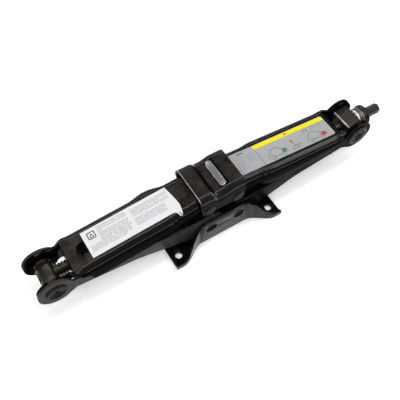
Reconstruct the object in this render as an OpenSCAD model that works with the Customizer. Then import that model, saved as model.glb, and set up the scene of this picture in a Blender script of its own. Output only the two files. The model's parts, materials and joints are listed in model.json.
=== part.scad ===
// Folding scissor jack, drawn fully folded.
// Origin: centre of the base plate's underside. +X runs to the drive end, +Z is up.
// Every arm is drawn on the +X side; the -X one is the same shape mirrored.

/* [Linkage] */
// Centre distance between the two pins of each arm
arm_length = 161.07; // [158:0.01:165]
// Rise of each arm when folded, in degrees from level
fold_angle = 4.81; // [4.7:0.01:5]
// Distance of the base and saddle pins from the middle of the jack
pin_offset = 16.5; // [16.5:0.1:17]
// Height of the base pins above the ground
base_pin_z = 22.5; // [22.5:0.1:23]

/* [Sheet steel] */
// Thickness of the base plate and its walls
base_t = 3; // [2.6:0.1:3]
// Thickness of the arm channels
arm_t = 2.5; // [2.2:0.1:2.5]
// Thickness of the saddle
saddle_t = 2.5; // [2.2:0.1:2.5]

/* [Base] */
// Half length of the base plate
base_half_l = 63.7; // [62:0.1:68]
// Half width of the base plate at its feet
foot_half_w = 42.3; // [41:0.1:44]
// Half width of the base over its upright walls
wall_half_w = 28.8; // [28.8:0.1:30]
// Height of the upright walls
wall_h = 33; // [32:0.1:34]
// Distance of the foot holes from the middle, along the jack
foot_hole_x = 55.2; // [53:0.1:57]
// Distance of the foot holes from the middle, across the jack
foot_hole_y = 30; // [28:0.1:33]
// Radius of the foot holes
foot_hole_r = 3.6; // [3:0.1:4]

/* [Arms] */
// Half width of the lower arms at the trunnions
lower_half_w = 19.4; // [19.4:0.1:19.6]
// Half width of the lower arms at the base pins
lower_wide_half_w = 25.2; // [25:0.1:25.4]
// Half width of the upper arms
upper_half_w = 22.5; // [22.5:0.1:23]
// Half width of the upper arms under the saddle
upper_saddle_half_w = 20.8; // [20.6:0.1:20.8]
// Half width over the inner ears of the upper arms
upper_ear_half_w = 16.5; // [16.3:0.1:16.6]
// Radius of the ears of the lower arms
lower_ear_r = 17.6; // [17:0.1:18]
// Radius of the ears of the upper arms
upper_ear_r = 17.2; // [16.6:0.1:17.4]

/* [Gear ends] */
// Number of teeth on a full circle
teeth = 14; // [14:1:14]
// Height of a tooth outside the pitch circle
addendum = 0.8; // [0.6:0.1:0.8]
// Depth of a tooth gap inside the pitch circle
dedendum = 1.35; // [1.2:0.05:1.5]
// Play between meshing teeth, as an angle on each gear
backlash = 0.7; // [0.5:0.1:1]

/* [Pins and trunnions] */
// Radius of the base pins
base_pin_r = 6.3; // [6:0.1:6.3]
// Radius of the saddle pins
saddle_pin_r = 5; // [4.5:0.1:5]
// Radius of the trunnion journals
journal_r = 8; // [7.5:0.1:8]
// Radial play of every pin in the arm that turns on it
running_play = 0.06; // [0.03:0.01:0.08]
// Radius of the nut barrel
barrel_r = 9; // [8.6:0.1:9.5]
// Half width of the nut barrel and of the thrust block, between the ears
trunnion_half_w = 13.6; // [13:0.1:13.7]

/* [Screw and drive] */
// Radius over the thread of the lead screw
screw_r = 6.4; // [6:0.1:6.4]
// Width across the flats of the hex drive
drive_af = 10; // [9:0.5:11]
// Radius of the drive flange
flange_r = 12; // [11.5:0.1:12.5]
// Number of balls in the thrust bearing
ball_count = 12; // [8:1:12]
// Radius of each bearing ball
ball_r = 1.6; // [1.4:0.1:1.6]

/* [Hidden] */

$fn = 72;
eps = 0.01;
far = 300;

// Pivot points in the XZ plane
trunnion_x = pin_offset + arm_length * cos(fold_angle);
trunnion_z = base_pin_z + arm_length * sin(fold_angle);
saddle_pin_z = 2 * trunnion_z - base_pin_z;
arm_slope = tan(fold_angle);

// Height of the pivot line of a lower or an upper arm, x measured from the middle
function lower_axis(x) = base_pin_z + (x - pin_offset) * arm_slope;
function upper_axis(x) = saddle_pin_z - (x - pin_offset) * arm_slope;

// Lower arm: places along it where the channel changes
lower_web_from = 30;
lower_web_to = 155.5;
lower_widens_at = 94;
lower_full_width_at = 25;
lower_end_r = 14.5;
web_slope = 0.137;
function lower_web_z(x) = 12.2 + web_slope * (x - 71);

// Upper arm: height of the web's top, and places along it
upper_web_rise = 13.55;
upper_end_r = 13.4;
upper_flange_drop = 8;
upper_narrow_at = 60;
upper_saddle_at = 45;
joggle_from = 150;
joggle_to = 161;
joggle_floor = 43.2;
swell = 2.4;
swell_at = 66;
upper_web_from = 26;
loose_play = 0.2;
left_web_to = 156;
right_web_to = 150;
web_hole_x = 139;
web_hole_r = 6.5;
function upper_web_z(x) = upper_axis(x) + upper_web_rise;

// Gear ends
pitch_r = pin_offset;
pressure = 25;
base_circle = pitch_r * cos(pressure);
tooth_pitch = 360 / teeth;
sector_span = 77;
lower_sector_from = -14;
upper_sector_from = 9;
upper_first_tooth = 11;

// Saddle
saddle_left = -27;
saddle_right = 24;
saddle_top = 69.5;
saddle_half_w = 24.4;
saddle_bend_r = 8.5;
valley_z = 66.2;
saddle_boss_r = 8.8;
rib_x = 3.6;
rib_half_w = 3.3;
rib_half_l = 12.6;

// Base: height of the lip at the feet, and how far the pins' ends sit inside the walls
lip_h = 5.2;
pin_recess = 1.2;

// Screw line, measured along X
block_from = trunnion_x - 9;
block_to = trunnion_x + 9;
block_half_h = 10;
screw_from = trunnion_x * -1 - barrel_r;
shank_r = 6;
spigot_r = 4;
race_in = 6.5;
race_out = 10.2;
race_t = 3.3;
ball_track_r = (race_in + race_out) / 2;
ball_play = 0.1;
ball_x = block_to + race_t + ball_play + ball_r;
race_turning_from = ball_x + ball_r + ball_play;
cup_t = 0.9;
cup_out = 11.4;
cup_from = block_to + 0.6;
cup_to = race_turning_from + race_t + cup_t;
seal_t = 1;
flange_from = cup_to + seal_t;
flange_t = 2.4;
spigot_l = 13;
drive_to = 221;
drive_pin_x = flange_from + flange_t + 3.5;
drive_pin_r = 1.25;

// Labels
label_t = 0.15;

// ---------- helpers ----------

// Extrude a side view (X across, Z up) between two places across the jack
module side(y_from, y_to) {
    translate([0, y_to, 0])
        rotate([90, 0, 0])
            linear_extrude(y_to - y_from) children();
}

// Round bar along Y between two places
module cross_bar(x, z, r, y_from, y_to) {
    translate([x, y_to, z])
        rotate([90, 0, 0])
            cylinder(r = r, h = y_to - y_from);
}

// Round bar along X between two places, on the screw line
module axial_bar(r, x_from, x_to) {
    translate([x_from, 0, trunnion_z])
        rotate([0, 90, 0])
            cylinder(r = r, h = x_to - x_from);
}

// Ring on the screw line
module axial_ring(r_out, r_in, x_from, x_to) {
    difference() {
        axial_bar(r_out, x_from, x_to);
        axial_bar(r_in, x_from - 1, x_to + 1);
    }
}

// Same on both sides of the jack's long centre plane
module both_sides() {
    children();
    mirror([0, 1, 0]) children();
}

// ---------- gear ends ----------

// Angle that an involute has turned at radius r
function involute(r) =
    let (a = acos(min(1, base_circle / r)))
    tan(a) * 180 / PI - a;

// Half the angle that a tooth fills at radius r
function half_tooth(r) =
    90 / teeth - backlash / 2 + involute(pitch_r) - involute(r);

function polar(r, a) = [r * cos(a), r * sin(a)];

// One tooth, centred on angle a
module tooth(a) {
    root = pitch_r - dedendum;
    tip = pitch_r + addendum;
    radii = [for (i = [0:4]) root + (tip - root) * i / 4];
    polygon(concat(
        [polar(root - 3, a - 14)],
        [for (r = radii) polar(r, a - half_tooth(r))],
        [for (i = [4:-1:0]) polar(radii[i], a + half_tooth(radii[i]))],
        [polar(root - 3, a + 14)]
    ));
}

// Toothed sector, from 'from' to 'to' degrees, with a tooth on angle 'phase'
module gear_sector(from, to, phase) {
    root = pitch_r - dedendum;
    arc = [for (i = [0:12]) polar(root, from + (to - from) * i / 12)];
    polygon(concat([[0, 0]], arc));
    for (k = [-5:5]) {
        a = phase + k * tooth_pitch;
        if (a > from - 1 && a < to + 1) tooth(a);
    }
}

// ---------- arms (drawn on the +X side) ----------

// Side view of a lower arm; the gear end points to the middle of the jack
module lower_side(phase) {
    translate([trunnion_x, trunnion_z]) circle(r = lower_ear_r);
    translate([pin_offset, base_pin_z]) {
        circle(r = lower_end_r);
        mirror([1, 0]) gear_sector(lower_sector_from, sector_span, phase);
    }
    polygon([
        [pin_offset, base_pin_z - lower_end_r],
        [lower_web_from - 2, lower_web_z(lower_web_from - 2)],
        [158, lower_web_z(158)],
        [167, 22],
        [trunnion_x, trunnion_z],
        [162, lower_axis(162) + 6],
        [98, lower_axis(98) + 7],
        [88, 34],
        [60, 34.2],
        [30, 35],
        [pin_offset, base_pin_z + lower_end_r]
    ]);
}

// Plan outline of a lower arm, set in by 'inset' from its outer faces
module lower_plan(inset) {
    narrow = lower_half_w - inset;
    wide = lower_wide_half_w - inset;
    polygon([
        [-far, -wide], [lower_full_width_at, -wide], [lower_widens_at, -narrow], [far, -narrow],
        [far, narrow], [lower_widens_at, narrow], [lower_full_width_at, wide], [-far, wide]
    ]);
}

module lower_arm(phase) {
    difference() {
        intersection() {
            side(-far, far) lower_side(phase);
            linear_extrude(far) lower_plan(0);
        }
        // hollow above the web
        intersection() {
            linear_extrude(far) lower_plan(arm_t);
            side(-far, far) polygon([
                [-far, lower_web_z(-far) + arm_t], [far, lower_web_z(far) + arm_t],
                [far, far], [-far, far]
            ]);
        }
        // no web beside the pins
        intersection() {
            linear_extrude(far) lower_plan(arm_t);
            union() {
                translate([-far, -far, -far]) cube([far + lower_web_from, 2 * far, 3 * far]);
                translate([lower_web_to, -far, -far]) cube([far, 2 * far, 3 * far]);
            }
        }
        cross_bar(trunnion_x, trunnion_z, journal_r + running_play, -far, far);
        cross_bar(pin_offset, base_pin_z, base_pin_r + running_play, -far, far);
    }
}

// Side view of an upper arm
module upper_side(phase) {
    translate([pin_offset, saddle_pin_z]) {
        circle(r = upper_end_r);
        rotate(180) gear_sector(upper_sector_from, sector_span, phase);
    }
    polygon([
        [pin_offset, upper_web_z(pin_offset) - 0.2],
        [joggle_from + 2, upper_web_z(joggle_from + 2)],
        [joggle_from + 2, joggle_floor],
        [joggle_from - 6, joggle_floor - 3],
        [joggle_from - 10, upper_axis(joggle_from - 10) - upper_flange_drop],
        [40, upper_axis(40) - upper_flange_drop],
        [pin_offset, saddle_pin_z - upper_end_r]
    ]);
}

// Side view of the inner ears of an upper arm
module upper_ear_side() {
    translate([trunnion_x, trunnion_z]) circle(r = upper_ear_r);
    polygon([
        [joggle_from + 5, joggle_floor],
        [joggle_from + 5, upper_web_z(joggle_from + 5)],
        [trunnion_x - 8, trunnion_z + upper_ear_r - 2],
        [trunnion_x, trunnion_z],
        [joggle_to + 1, joggle_floor - 4]
    ]);
}

// Plan outline of an upper arm up to its joggle; 'bulge' swells its far flange
module upper_plan(inset, bulge) {
    under_saddle = upper_saddle_half_w - inset;
    w = upper_half_w - inset;
    polygon([
        [-far, -under_saddle], [upper_saddle_at, -under_saddle], [upper_narrow_at, -w],
        [far, -w], [far, w], [swell_at + 14, w],
        [swell_at, w + bulge], [upper_narrow_at - 3, w + bulge * 0.7],
        [upper_saddle_at, under_saddle], [-far, under_saddle]
    ]);
}

// Plan of the bend that brings one flange in to its ear
module joggle_plan() {
    polygon([
        [joggle_from - 4, upper_half_w], [joggle_from, upper_half_w],
        [joggle_to, upper_ear_half_w], [joggle_to + 4, upper_ear_half_w],
        [joggle_to + 4, upper_ear_half_w - arm_t], [joggle_to - 1, upper_ear_half_w - arm_t],
        [joggle_from - 1, upper_half_w - arm_t], [joggle_from - 4, upper_half_w - arm_t]
    ]);
}

module upper_arm(phase, web_to, bulge, hole_r, saddle_play) {
    difference() {
        union() {
            intersection() {
                side(-far, far) upper_side(phase);
                difference() {
                    linear_extrude(far) upper_plan(0, bulge);
                    // hollow under the web
                    intersection() {
                        linear_extrude(far) upper_plan(arm_t, bulge);
                        side(-far, far) polygon([
                            [-far, upper_web_z(-far) - arm_t], [far, upper_web_z(far) - arm_t],
                            [far, -far], [-far, -far]
                        ]);
                    }
                    // no web over the saddle pin
                    translate([-far, -upper_saddle_half_w + arm_t, -far])
                        cube([far + upper_web_from, 2 * (upper_saddle_half_w - arm_t), 3 * far]);
                }
            }
            // web carried on between the joggled flanges
            intersection() {
                side(-far, far) polygon([
                    [joggle_from - 2, upper_web_z(joggle_from - 2) - arm_t],
                    [web_to, upper_web_z(web_to) - arm_t],
                    [web_to, upper_web_z(web_to)],
                    [joggle_from - 2, upper_web_z(joggle_from - 2)]
                ]);
                linear_extrude(far) union() {
                    translate([joggle_from - 3, -upper_half_w]) square([3, 2 * upper_half_w]);
                    polygon([
                        [joggle_from - 1, -upper_half_w], [joggle_from, -upper_half_w],
                        [joggle_to, -upper_ear_half_w], [joggle_to, upper_ear_half_w],
                        [joggle_from, upper_half_w], [joggle_from - 1, upper_half_w]
                    ]);
                }
            }
            // flanges brought in above the lower arm's edge
            intersection() {
                side(-far, far) polygon([
                    [joggle_from - 4, joggle_floor], [joggle_to + 4, joggle_floor],
                    [joggle_to + 4, upper_web_z(joggle_to + 4)],
                    [joggle_from - 4, upper_web_z(joggle_from - 4)]
                ]);
                both_sides() linear_extrude(far) joggle_plan();
            }
            both_sides() side(upper_ear_half_w - arm_t, upper_ear_half_w) intersection() {
                upper_ear_side();
                translate([joggle_to - 1, -far]) square([far, 2 * far]);
            }
        }
        cross_bar(trunnion_x, trunnion_z, journal_r + running_play, -far, far);
        cross_bar(pin_offset, saddle_pin_z, saddle_pin_r + saddle_play, -far, far);
        if (hole_r > 0) translate([web_hole_x, 0, 0]) cylinder(r = hole_r, h = far);
    }
}

// ---------- base ----------

// Smooth S-curve from 0 to 1 as x goes from a to b
function ease(x, a, b) =
    let (t = min(1, max(0, (x - a) / (b - a))))
    t * t * (3 - 2 * t);

// Half width of the base and height of its walls, x measured from the middle
function base_half_w(x) = wall_half_w + (foot_half_w - wall_half_w) * ease(x, 27, 56);
function base_wall_z(x) = wall_h - (wall_h - lip_h) * ease(x, 21, 57);
base_steps = 22;
base_xs = [for (i = [0:base_steps]) base_half_l * i / base_steps];

// Plan outline of the base, waisted between its feet
module base_plan(inset, end_extra) {
    near = [for (x = base_xs) [x, -base_half_w(x) + inset]];
    quarter = concat(near, [[base_half_l + end_extra, -foot_half_w + inset]]);
    n = len(quarter);
    polygon(concat(
        [for (i = [n - 1:-1:1]) [-quarter[i][0], quarter[i][1]]],
        quarter,
        [for (i = [n - 1:-1:0]) [quarter[i][0], -quarter[i][1]]],
        [for (i = [1:n - 1]) [-quarter[i][0], -quarter[i][1]]]
    ));
}

// Side view of the walls: tall at the pins, running out to a lip at the feet
module base_wall_side() {
    polygon(concat(
        [[-base_half_l, 0], [base_half_l, 0]],
        [for (i = [base_steps:-1:0]) [base_xs[i], base_wall_z(base_xs[i])]],
        [for (i = [1:base_steps]) [-base_xs[i], base_wall_z(base_xs[i])]]
    ));
}

module base_plate() {
    color([0.07, 0.07, 0.075]) difference() {
        union() {
            linear_extrude(base_t) base_plan(0, 0);
            intersection() {
                linear_extrude(wall_h) difference() {
                    base_plan(0, 0);
                    base_plan(base_t, 1);
                }
                side(-far, far) base_wall_side();
            }
        }
        for (x = [-1, 1], y = [-1, 1])
            translate([x * foot_hole_x, y * foot_hole_y, -1]) cylinder(r = foot_hole_r, h = 10);
        for (x = [-1, 1])
            cross_bar(x * pin_offset, base_pin_z, base_pin_r, -far, far);
    }
}

// Solid rivet pin with a dished, centre-drilled end on each side
module rivet_pin(x, z, r, half_l, dish_r) {
    color([0.12, 0.12, 0.12]) difference() {
        cross_bar(x, z, r, -half_l, half_l);
        both_sides() translate([x, half_l + eps, z]) rotate([90, 0, 0]) {
            cylinder(r1 = dish_r, r2 = dish_r * 0.6, h = 1);
            cylinder(r = dish_r * 0.22, h = 3);
        }
    }
}

module base_pin_left() { rivet_pin(-pin_offset, base_pin_z, base_pin_r, wall_half_w - pin_recess, 4.8); }
module base_pin_right() { rivet_pin(pin_offset, base_pin_z, base_pin_r, wall_half_w - pin_recess, 4.8); }

// ---------- arm nodes ----------

module lower_arm_left() { color([0.06, 0.06, 0.065]) mirror([1, 0, 0]) lower_arm(0); }
module lower_arm_right() { color([0.06, 0.06, 0.065]) lower_arm(tooth_pitch / 2); }
module upper_arm_left() {
    color([0.05, 0.05, 0.055]) mirror([1, 0, 0])
        upper_arm(upper_first_tooth, left_web_to, swell, web_hole_r, running_play);
}
module upper_arm_right() {
    color([0.05, 0.05, 0.055])
        upper_arm(upper_first_tooth + tooth_pitch / 2, right_web_to, 0, 0, loose_play);
}

// ---------- saddle ----------

// Side view of the saddle's top, set down by 'drop'; the valley takes the car's sill flange
module saddle_top_side(drop) {
    polygon([
        [saddle_left, 0], [saddle_left, saddle_top - drop - 0.5], [saddle_left + 2, saddle_top - drop],
        [-13.5, saddle_top - drop], [-10.5, saddle_top - drop - 0.8], [-8, valley_z - drop],
        [-0.5, valley_z - drop], [8.5, saddle_top - drop - 0.3], [11, saddle_top - drop],
        [saddle_right, saddle_top - drop], [saddle_right, 0]
    ]);
}

// Cross-section of the saddle, with its round bends
module saddle_section(inset) {
    w = saddle_half_w - inset;
    r = saddle_bend_r - inset;
    union() {
        translate([-w, 0]) square([2 * w, saddle_top - inset - r]);
        translate([-w + r, 0]) square([2 * (w - r), saddle_top - inset]);
        for (s = [-1, 1]) translate([s * (w - r), saddle_top - inset - r]) circle(r = r);
    }
}

// Side view of the saddle's walls
module saddle_wall_side() {
    for (x = [-1, 1]) translate([x * pin_offset, saddle_pin_z]) circle(r = saddle_boss_r);
    polygon([
        [saddle_left, saddle_top], [saddle_left, 58], [-pin_offset - saddle_boss_r, saddle_pin_z],
        [-pin_offset, saddle_pin_z - 5], [pin_offset, saddle_pin_z - 5],
        [pin_offset + saddle_boss_r, saddle_pin_z], [saddle_right, 58], [saddle_right + 2, saddle_top]
    ]);
}

module saddle_bracket() {
    color([0.07, 0.065, 0.06]) difference() {
        intersection() {
            side(-saddle_half_w, saddle_half_w) saddle_top_side(0);
            translate([-far, 0, 0]) rotate([90, 0, 90]) linear_extrude(2 * far) saddle_section(0);
            side(-far, far) saddle_wall_side();
        }
        intersection() {
            translate([-far, 0, 0]) rotate([90, 0, 90]) linear_extrude(2 * far)
                saddle_section(saddle_t + 0.3);
            union() {
                side(-far, far) saddle_top_side(saddle_t);
                translate([-far, -far, 0]) cube([far + saddle_left + 1, 2 * far, saddle_top - saddle_t]);
                translate([saddle_right - 1, -far, 0]) cube([far, 2 * far, saddle_top - saddle_t]);
            }
        }
        for (x = [-1, 1]) cross_bar(x * pin_offset, saddle_pin_z, saddle_pin_r, -far, far);
    }
    // polished rib along the valley's slope
    color([0.5, 0.5, 0.5]) intersection() {
        translate([rib_x, 0, 0]) linear_extrude(saddle_top) union() {
            translate([-rib_half_w, -rib_half_l]) square([2 * rib_half_w, 2 * rib_half_l]);
            for (s = [-1, 1]) translate([0, s * rib_half_l]) circle(r = rib_half_w);
        }
        side(-far, far) polygon([
            [-1, valley_z - 1], [-1, valley_z + 1], [9, saddle_top + 0.3], [9, saddle_top - 2]
        ]);
    }
}

// Headed rivet through the saddle and one pair of upper-arm ends
module saddle_pin(x) {
    color([0.1, 0.1, 0.1]) union() {
        cross_bar(x, saddle_pin_z, saddle_pin_r, -saddle_half_w - 0.2, saddle_half_w + 0.2);
        both_sides() translate([x, saddle_half_w, saddle_pin_z]) rotate([-90, 0, 0])
            cylinder(r1 = 6.4, r2 = 5.2, h = 1.2);
    }
}

module saddle_pin_left() { saddle_pin(-pin_offset); }
module saddle_pin_right() { saddle_pin(pin_offset); }

// ---------- trunnions ----------

// Dished end of a trunnion journal
module journal_dishes(x, y_end) {
    both_sides() translate([x, y_end + eps, trunnion_z]) rotate([90, 0, 0]) {
        cylinder(r1 = 5.6, r2 = 3.4, h = 1.2);
        cylinder(r = 1.3, h = 4);
    }
}

journal_end = lower_half_w + 1;
barrel_half_l = 10;
neck_r = 6.8;

// Round nut with a journal each side; the lead screw runs through its barrel
module nut_trunnion() {
    x = -trunnion_x;
    color([0.1, 0.1, 0.1]) difference() {
        union() {
            cross_bar(x, trunnion_z, barrel_r, -barrel_half_l, barrel_half_l);
            cross_bar(x, trunnion_z, neck_r, -journal_end, journal_end);
            both_sides() cross_bar(x, trunnion_z, journal_r, trunnion_half_w - 0.4, journal_end);
        }
        axial_bar(screw_r + running_play, x - 30, x + 30);
        journal_dishes(x, journal_end);
    }
}

// Block with a journal each side; it carries the screw's thrust bearing
module thrust_trunnion() {
    color([0.3, 0.28, 0.26]) difference() {
        union() {
            translate([block_from, -trunnion_half_w, trunnion_z - block_half_h])
                cube([block_to - block_from, 2 * trunnion_half_w, 2 * block_half_h]);
            cross_bar(trunnion_x, trunnion_z, journal_r, -journal_end, journal_end);
        }
        axial_bar(screw_r + running_play, block_from - 30, block_to + 30);
        journal_dishes(trunnion_x, journal_end);
    }
}

// Dished retaining washer staked on a journal end, outside the lower arm's ear
module journal_washer(x, r) {
    color([0.09, 0.09, 0.09]) translate([x, lower_half_w + 0.3, trunnion_z]) rotate([-90, 0, 0])
        difference() {
            union() {
                cylinder(r = r, h = 0.9);
                cylinder(r1 = r - 1.6, r2 = r - 2.2, h = 1.3);
            }
            translate([0, 0, -1]) cylinder(r = journal_r, h = 5);
        }
}

module nut_washer_far() { journal_washer(-trunnion_x, 10.4); }
module nut_washer_near() { mirror([0, 1, 0]) nut_washer_far(); }
module thrust_washer_far() { journal_washer(trunnion_x, 12); }
module thrust_washer_near() { mirror([0, 1, 0]) thrust_washer_far(); }

// ---------- screw and thrust bearing ----------

// Lead screw: threaded part, bare shank through the block, spigot in the drive head
module lead_screw() {
    color([0.45, 0.42, 0.3]) difference() {
        union() {
            axial_bar(screw_r, screw_from, block_to - 1);
            axial_bar(shank_r, block_to - 2, flange_from);
            axial_bar(spigot_r, flange_from - 1, flange_from + spigot_l);
        }
        cross_bar(drive_pin_x, trunnion_z, drive_pin_r, -far, far);
    }
}

module bearing_race_fixed() {
    color([0.6, 0.6, 0.6]) axial_ring(race_out, race_in, block_to, block_to + race_t);
}

module bearing_race_turning() {
    color([0.6, 0.6, 0.6])
        axial_ring(race_out, shank_r, race_turning_from, race_turning_from + race_t);
}

module bearing_balls() {
    color([0.75, 0.75, 0.75]) for (i = [0:ball_count - 1])
        translate([ball_x, 0, trunnion_z]) rotate([i * 360 / ball_count, 0, 0])
            translate([0, ball_track_r, 0]) sphere(r = ball_r, $fn = 32);
}

// Flat ring that keeps the balls apart
module ball_cage() {
    color([0.7, 0.55, 0.25]) difference() {
        axial_ring(race_out, race_in, ball_x - 0.5, ball_x + 0.5);
        for (i = [0:ball_count - 1])
            translate([ball_x - 2, 0, trunnion_z]) rotate([i * 360 / ball_count, 0, 0])
                translate([0, ball_track_r, 0])
                    rotate([0, 90, 0]) cylinder(r = ball_r + 0.08, h = 4, $fn = 32);
    }
}

// Dust cup over the bearing, open to the block
module bearing_cup() {
    color([0.62, 0.63, 0.62]) difference() {
        axial_bar(cup_out, cup_from, cup_to);
        axial_bar(cup_out - cup_t, cup_from - 1, cup_to - cup_t);
        axial_bar(shank_r, cup_from, cup_to + 1);
    }
}

module seal_washer() {
    color([0.25, 0.25, 0.25]) axial_ring(cup_out + 0.3, shank_r, cup_to, flange_from);
}

// Flange and hexagon that the crank turns
module drive_head() {
    color([0.2, 0.17, 0.15]) difference() {
        union() {
            axial_bar(flange_r, flange_from, flange_from + flange_t);
            translate([flange_from, 0, trunnion_z]) rotate([0, 90, 0])
                cylinder(d = drive_af / cos(30), h = drive_to - flange_from, $fn = 6);
        }
        axial_bar(spigot_r, flange_from - 1, flange_from + spigot_l);
        cross_bar(drive_pin_x, trunnion_z, drive_pin_r, -far, far);
    }
}

// Roll pin that locks the drive head on the screw
module drive_pin() {
    color([0.4, 0.4, 0.4]) cross_bar(drive_pin_x, trunnion_z, drive_pin_r, -4.7, 4.7);
}

// ---------- labels ----------

// Thin label lying on the top of an upper arm
module label(from, to, y_from, y_to) {
    side(y_from, y_to) polygon([
        [from, upper_web_z(from) + 0.02], [to, upper_web_z(to) + 0.02],
        [to, upper_web_z(to) + 0.02 + label_t], [from, upper_web_z(from) + 0.02 + label_t]
    ]);
}

module rating_label() { color([0.95, 0.95, 0.95]) mirror([1, 0, 0]) label(41.5, 135.4, -14.2, 14.9); }
module instruction_label() { color([0.8, 0.8, 0.8]) label(26.4, 147.2, -13.4, 13.4); }

// ---------- assembly ----------

base_plate();
base_pin_left();
base_pin_right();
lower_arm_left();
lower_arm_right();
upper_arm_left();
upper_arm_right();
saddle_bracket();
saddle_pin_left();
saddle_pin_right();
nut_trunnion();
nut_washer_near();
nut_washer_far();
thrust_trunnion();
thrust_washer_near();
thrust_washer_far();
lead_screw();
bearing_race_fixed();
bearing_balls();
ball_cage();
bearing_race_turning();
bearing_cup();
seal_washer();
drive_head();
drive_pin();
rating_label();
instruction_label();
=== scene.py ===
# %% [markdown]
# # A folded scissor jack
# The jack is pressed from steel sheet: a waisted base, four channel-shaped arms, a saddle on top,
# and a lead screw that draws the two ends together. Its design, sizes and joints come from CAD.
# This lesson gives that plain CAD model its real surfaces: rounded bends, worn edges, a cut
# thread, printed labels, black paint with dust on it, zinc and bare steel.

# %% Load the CAD model
import bpy
import bmesh
import json
from math import radians, degrees, sin, cos, atan, pi, hypot, sqrt
from mathutils import Matrix, Vector


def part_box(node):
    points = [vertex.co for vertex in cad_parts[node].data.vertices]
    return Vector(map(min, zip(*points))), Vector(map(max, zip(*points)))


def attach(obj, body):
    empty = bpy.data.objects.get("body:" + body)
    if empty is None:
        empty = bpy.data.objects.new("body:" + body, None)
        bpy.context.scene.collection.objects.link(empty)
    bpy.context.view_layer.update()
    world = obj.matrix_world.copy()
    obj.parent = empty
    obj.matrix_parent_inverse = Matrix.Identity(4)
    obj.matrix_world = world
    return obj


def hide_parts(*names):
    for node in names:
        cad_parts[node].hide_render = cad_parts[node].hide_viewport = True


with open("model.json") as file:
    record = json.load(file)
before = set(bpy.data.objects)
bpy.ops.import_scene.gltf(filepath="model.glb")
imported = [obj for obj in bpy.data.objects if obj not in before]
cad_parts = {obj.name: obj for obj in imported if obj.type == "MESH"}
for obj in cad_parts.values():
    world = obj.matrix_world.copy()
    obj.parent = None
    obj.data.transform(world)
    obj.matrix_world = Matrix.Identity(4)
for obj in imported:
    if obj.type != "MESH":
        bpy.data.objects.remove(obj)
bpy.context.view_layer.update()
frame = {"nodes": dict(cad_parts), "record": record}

MM = 0.001

# %% [markdown]
# ## Driving dimensions
# Every place in the scene is worked out from the CAD model: the joints give the pivots, and the
# boxes of the nodes give their ends. The only numbers kept here are the few that a look needs,
# such as the height of an arm's web over the line between its pivots.

# %% Pivots and the line of each arm
joint_at = {j["name"]: Vector(j["pos_m"]) for j in frame["record"]["behaviour"]["joints"]}
base_pin = joint_at["lower_right_hinge"]
trunnion = joint_at["upper_right_hinge"]
saddle_pin_z = joint_at["saddle_hinge"].z
arm_slope = (trunnion.z - base_pin.z) / (trunnion.x - base_pin.x)
WEB_RISE = 13.55 * MM
UPPER_HALF_W = 22.5 * MM
FOLD_R = 7 * MM
print("trunnion at", trunnion, "arm rises", round(degrees(atan(arm_slope)), 2), "degrees")


def web_height(x):
    """Height of an upper arm's top face, at a distance x from the jack's middle."""
    return saddle_pin_z - (abs(x) - base_pin.x) * arm_slope + WEB_RISE


# %% [markdown]
# ## Shared surface effects
# Paint, zinc and bare steel share three effects: a fine orange-peel or rolled grain, dust that
# settles on whatever faces up, and light metal along an edge, which is wear where the edge has rubbed
# and a painted highlight where it is marked strongly. Each is a node group
# made once, with its own inputs, so that every material can set its own amounts.

# %% Helper: a node group with named sockets
def new_group(name, inputs, outputs):
    group = bpy.data.node_groups.new(name, "ShaderNodeTree")
    for socket, kind, default in inputs:
        made = group.interface.new_socket(socket, in_out="INPUT", socket_type=kind)
        if default is not None:
            made.default_value = default
    for socket, kind in outputs:
        group.interface.new_socket(socket, in_out="OUTPUT", socket_type=kind)
    return group, group.nodes.new("NodeGroupInput"), group.nodes.new("NodeGroupOutput")


def add(tree, kind, **values):
    """Adds a node and sets its options and sockets by name."""
    node = tree.nodes.new(kind)
    for key, value in values.items():
        if hasattr(node, key):
            setattr(node, key, value)
        else:
            node.inputs[key.replace("_", " ")].default_value = value
    return node


# %% Surface relief: orange peel, fine grain and slow waviness in one height
F, V = "NodeSocketFloat", "NodeSocketVector"
relief, r_in, r_out = new_group(
    "surface_relief",
    [("Vector", V, None), ("Peel Scale", F, 700.0), ("Peel", F, 0.5), ("Wave", F, 0.3)],
    [("Height", F), ("Speckle", F)])
peel = add(relief, "ShaderNodeTexNoise", Detail=3.0, Roughness=0.6)
wave = add(relief, "ShaderNodeTexNoise", Scale=60.0, Detail=1.0)
speck = add(relief, "ShaderNodeTexNoise", Scale=2600.0, Detail=2.0)
peel_amount = add(relief, "ShaderNodeMath", operation="MULTIPLY")
wave_amount = add(relief, "ShaderNodeMath", operation="MULTIPLY")
total = add(relief, "ShaderNodeMath", operation="ADD")
for texture in (peel, wave, speck):
    relief.links.new(r_in.outputs["Vector"], texture.inputs["Vector"])
relief.links.new(r_in.outputs["Peel Scale"], peel.inputs["Scale"])
relief.links.new(peel.outputs["Fac"], peel_amount.inputs[0])
relief.links.new(r_in.outputs["Peel"], peel_amount.inputs[1])
relief.links.new(wave.outputs["Fac"], wave_amount.inputs[0])
relief.links.new(r_in.outputs["Wave"], wave_amount.inputs[1])
relief.links.new(peel_amount.outputs[0], total.inputs[0])
relief.links.new(wave_amount.outputs[0], total.inputs[1])
relief.links.new(total.outputs[0], r_out.inputs["Height"])
relief.links.new(speck.outputs["Fac"], r_out.inputs["Speckle"])
print("made group", relief.name)

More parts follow.
